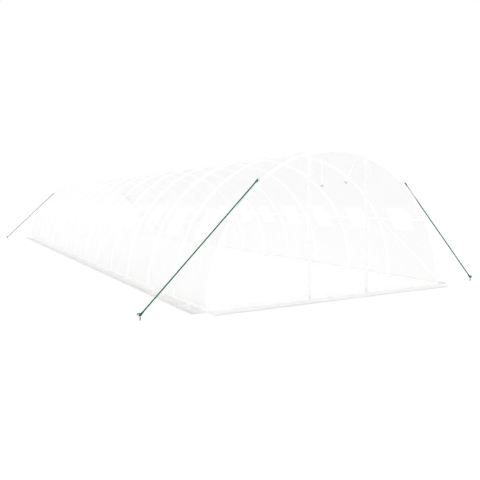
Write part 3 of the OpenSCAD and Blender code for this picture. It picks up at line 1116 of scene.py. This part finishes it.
def guy_rope(end, side, left, back):
    """A taut rope with a spliced eye at each end, one through its ring and one round its peg."""
    ring = Vector((RING_R * cos(ROPE_ANGLE), -END_Y, FRAME_Z + RING_R * sin(ROPE_ANGLE)))
    foot = Vector((PEG_X, -END_Y, FOOT_Z))
    run = (foot - ring).normalized()
    wire = ring + run * (RING_BORE + RING_WIRE) / 2
    splice_top = wire + run * 7 * ROPE_R
    splice_low = foot - run * 9 * ROPE_R
    across, level = Vector((0, 1, 0)), Vector((1, 0, 0))
    strand_r, strand_reach, tuck_reach = ROPE_R * 0.66, ROPE_R * 0.60, ROPE_R * 0.70
    in_groove, thinned, slip = 1 / 6, 0.35, 0.0004
    ring_hold = ROPE_R + RING_WIRE / 2 + slip
    peg_hold = ROPE_R + PEG_R + slip
    through_ring = eye(splice_top, wire + run * 3 * ROPE_R, wire, across, -run, ring_hold)
    round_peg = eye(splice_low, foot - run * 4 * ROPE_R, foot, across, level, peg_hold)
    lines = []
    for path in ([splice_top, splice_low], through_ring, round_peg):
        lines += strands(smooth_line(path, ROPE_R), strand_reach, 0.0)
    # The tail's strands are tucked into the grooves of the rope and thin out
    for splice, way in ((splice_top, 1), (splice_low, -1)):
        tuck = smooth_line([splice - run * way * ROPE_R, splice + run * way * 12 * ROPE_R], ROPE_R)
        lines += strands(tuck, tuck_reach, in_groove, thinned)
    lines = [([at_corner(left, back, point) for point in line], thin) for line, thin in lines]
    return tube_mesh(f"guy_rope_{end}_{side}", lines, strand_r, ROPE)


def ring_tab(left, back):
    """A webbing tab that holds a rope's ring to the cover."""
    half_width, step_length = 0.0125, 0.01
    over_ring = FILM_T + RING_WIRE + 0.004
    # Its section over the ring: the place along the tunnel from the end hoop, and the lift
    profile = [
        (-0.0165, 0.0030),
        (-0.0065, 0.0032),
        (-0.0046, 0.0065),
        (-0.0030, over_ring),
        (0.0, over_ring + 0.0012),
        (0.0030, over_ring),
        (0.0046, 0.0065),
        (0.0065, 0.0032),
        (0.020, 0.0030),
        (0.060, 0.0030),
    ]

    def place(round_arch, step):
        along, lift = profile[step]
        return at_corner(left, back, on_cover(along - END_Y, ROPE_ANGLE + round_arch / SHEET_R, lift))

    columns = spaced([-half_width, half_width], [4])
    steps = range(len(profile))
    return sheet_grid(columns, steps, place, lambda across, step: (across, step * step_length))


def peg_line(left, back):
    """The middle line of a peg: up from the ground, bent outwards, its tip turned down as a hook."""
    bend, tip, reach = PEG_R * 2.2, PEG_R * 1.6, 4 * PEG_R
    top = PEG_H - PEG_R
    rod = [(PEG_X, 0.0), (PEG_X, top - bend)]
    for step in range(1, 5):
        turn = pi / 2 * step / 4
        rod.append((PEG_X + bend * (1 - cos(turn)), top - bend + bend * sin(turn)))
    rod.append((PEG_X + reach, top))
    for step in range(1, 4):
        turn = pi / 2 * step / 3
        rod.append((PEG_X + reach + tip * sin(turn), top - tip * (1 - cos(turn))))
    rod.append((PEG_X + reach + tip, top - tip - PEG_R))
    return [at_corner(left, back, Vector((x, -END_Y, z))) for x, z in rod]


def guy_ropes():
    """Ropes, ring tabs and pegs at the four corners."""
    tabs = bmesh.new()
    pegs = []
    for end, back in ENDS.items():
        for side, left in (("right", False), ("left", True)):
            guy_rope(end, side, left, back)
            join(tabs, ring_tab(left, back))
            pegs.append((peg_line(left, back), 1.0))
    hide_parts("guy_ropes")
    tube_mesh("pegs", pegs, PEG_R, PEG_STEEL, ["guy_pegs"], roundness=3)
    outwards(tabs, from_axis)
    thicken(tabs, WEBBING_T)
    finish_piece("ring_tabs", tabs, WEBBING)


# The frame's bolts


def frame_bolts():
    """Hex bolts with washers through the sockets, on the side that faces into the tunnel."""
    washer_t, taper = 0.0010, 0.94
    # Sides, radius, height, and height of the base above the seat
    washer = (14, 0.0062, washer_t, 0.0)
    head = (6, 0.0048, 0.0036, washer_t)
    bolt = bmesh.new()
    for segments, radius, height, base in (washer, head):
        made = bmesh.ops.create_cone(
            bolt, cap_ends=True, segments=segments, radius1=radius, radius2=radius * taper, depth=height
        )["verts"]
        bmesh.ops.translate(bolt, verts=made, vec=(0, 0, base + height / 2))
    places = []

    def at(angle, y, round_arch, along):
        """A bolt on a hoop's or purlin's socket, set off along it, with its head to the tunnel's axis."""
        turn = angle + round_arch / HOOP_R
        out = Vector((cos(turn), 0, sin(turn)))
        seat = out * (HOOP_R - SOCKET_R) + Vector((0, y + along, FRAME_Z))
        basis = Matrix((Vector((0, 1, 0)), (-out).cross(Vector((0, 1, 0))), -out)).transposed()
        places.append(lambda p: basis @ p + seat)

    in_socket = SOCKET_R + SOCKET_DEPTH * 0.55
    in_sleeve = 0.018
    sleeve_angle = (PURLIN + pi / 2) / 2
    for i, y in enumerate(HOOP_YS):
        to_bays = [way for way in (-1, 1) if 0 <= i + way <= BAYS]
        for angle in (PURLIN, pi / 2, pi - PURLIN):
            for way in (-1, 1):
                at(angle, y, way * in_socket, 0)
            for way in to_bays:
                at(angle, y, 0, way * in_socket)
        at(0, y, in_socket, 0)
        at(pi, y, -in_socket, 0)
        for angle in (sleeve_angle, pi - sleeve_angle):
            for way in (-1, 1):
                at(angle, y, way * in_sleeve, 0)
    finish_piece("frame_bolts", copies(bolt, places), BOLT, smooth=False)


# Camera, ground and light


def camera():
    """The photograph's view: level, at chest height, with the horizon above the middle."""
    # In pixels of the photograph's frame
    focal, horizon, size = 511.9, 200.9, 480
    azimuth = radians(29.857)
    data = bpy.data.cameras.new("camera")
    data.sensor_width = 36
    data.lens = focal / size * data.sensor_width
    data.shift_y = -(size / 2 - horizon) / size
    data.clip_end = 200
    holder = bpy.data.objects.new("camera", data)
    holder.location = (-4.654, -12.41, 1.309)
    holder.rotation_euler = (pi / 2, 0, -azimuth)
    bpy.context.scene.collection.objects.link(holder)
    bpy.context.scene.camera = holder


def seen_direct(tree):
    """1 for what the eye sees directly, in a mirror or through clear things, and 0 for the light that
    falls on the part."""
    path = add(tree, "ShaderNodeLightPath")
    glossy = add(
        tree,
        "ShaderNodeMath",
        {"operation": "MAXIMUM"},
        {0: path.outputs["Is Camera Ray"], 1: path.outputs["Is Glossy Ray"]},
    )
    either = add(
        tree,
        "ShaderNodeMath",
        {"operation": "MAXIMUM"},
        {0: glossy.outputs[0], 1: path.outputs["Is Transmission Ray"]},
    )
    return either.outputs[0]


def backdrop():
    """White all round, and soft even light from everywhere."""
    world = bpy.data.worlds.new("studio")
    world.use_nodes = True
    tree = world.node_tree
    tree.nodes.clear()
    strength = add(
        tree, "ShaderNodeMapRange", {"To Min": 0.99, "To Max": 1.0}, {"Value": seen_direct(tree)}
    )
    back = add(
        tree,
        "ShaderNodeBackground",
        {"Color": (1, 1, 1, 1)},
        {"Strength": strength.outputs["Result"]},
    )
    add(tree, "ShaderNodeOutputWorld", links={"Surface": back.outputs["Background"]})
    bpy.context.scene.world = world


def studio_ground():
    """A plain white ground, part paint that takes shade and part glow that keeps it white."""
    half_size, glow_share = 300, 0.62
    bm = bmesh.new()
    bmesh.ops.create_grid(bm, x_segments=1, y_segments=1, size=half_size)
    mesh = bpy.data.meshes.new("ground")
    bm.to_mesh(mesh)
    bm.free()
    ground = bpy.data.objects.new("ground", mesh)
    bpy.context.scene.collection.objects.link(ground)
    material, tree = new_material("white_studio_ground")
    paint = add(tree, "ShaderNodeBsdfDiffuse", {"Color": linear("#F8F8F8")})
    glow = add(tree, "ShaderNodeEmission", {"Color": (1, 1, 1, 1), "Strength": 1.0})
    share = add(
        tree, "ShaderNodeMath", {"operation": "MULTIPLY", 1: glow_share}, {0: seen_direct(tree)}
    )
    both = add(
        tree,
        "ShaderNodeMixShader",
        links={"Fac": share.outputs[0], 1: paint.outputs[0], 2: glow.outputs[0]},
    )
    add(tree, "ShaderNodeOutputMaterial", links={"Surface": both.outputs[0]})
    mesh.materials.append(material)


def key_light():
    """A broad, soft key from the front left."""
    data = bpy.data.lights.new("key", "SUN")
    data.energy = 0.55
    data.angle = radians(40)
    key = bpy.data.objects.new("key", data)
    key.rotation_euler = Vector((0.55, 0.55, -0.63)).to_track_quat("-Z", "Y").to_euler()
    bpy.context.scene.collection.objects.link(key)


def dress_frame():
    """Gives the frame's own nodes their finishes. Under film the light on them comes from all sides,
    so they cast no shade."""
    finishes = {"tube": TUBE, "fitting": FITTING, "steel": ZINC}
    for part in frame["record"]["subparts"]:
        finish = finishes.get(part["material_slot"])
        if finish:
            node = frame["nodes"][part["node"]]
            node.data.materials.clear()
            node.data.materials.append(finish)
            node.visible_shadow = False


# Making the greenhouse


bpy.context.scene.view_settings.view_transform = "Standard"
# A line of sight along the tunnel passes many layers of film
bpy.context.scene.cycles.transparent_max_bounces = 64
camera()
backdrop()
studio_ground()
key_light()
dress_frame()
guy_ropes()
cover_trims = [window_tape(side, angle) for side, angle in SIDES.items()]
cover_trims += [side_foot_hem(side) for side in SIDES]
cover_trims += [end_hem(end, back) for end, back in ENDS.items()]
arched_cover()
for side, angle in SIDES.items():
    window_mesh(side, angle)
for end, back in ENDS.items():
    end_wall(end, back, [foot_hem(end, back), zip_facings(end, back)])
    door_film(end, back)
    zip_tapes(end, back)
    zip_teeth(end, back)
    zip_stitches(end, back)
    zip_sliders(end, back)
tie_straps()
strap_buckles()
for name, way, seed in (("left_skirt", -1, 51.0), ("right_skirt", 1, 53.0)):
    skirt(
        name,
        COVER_END,
        SHEET_R,
        lambda along, out, z, way=way: Vector((way * out, along, z)),
        seed,
        SIDE_SKIRT,
        crumple=1.8,
    )
for name, way, seed in (("front_skirt", -1, 55.0), ("back_skirt", 1, 57.0)):
    skirt(
        name,
        ARCH_R,
        END_SHEET_Y,
        lambda along, out, z, way=way: Vector((along, way * out, z)),
        seed,
        END_SKIRT,
        crumple=1.0,
    )
frame_bolts()
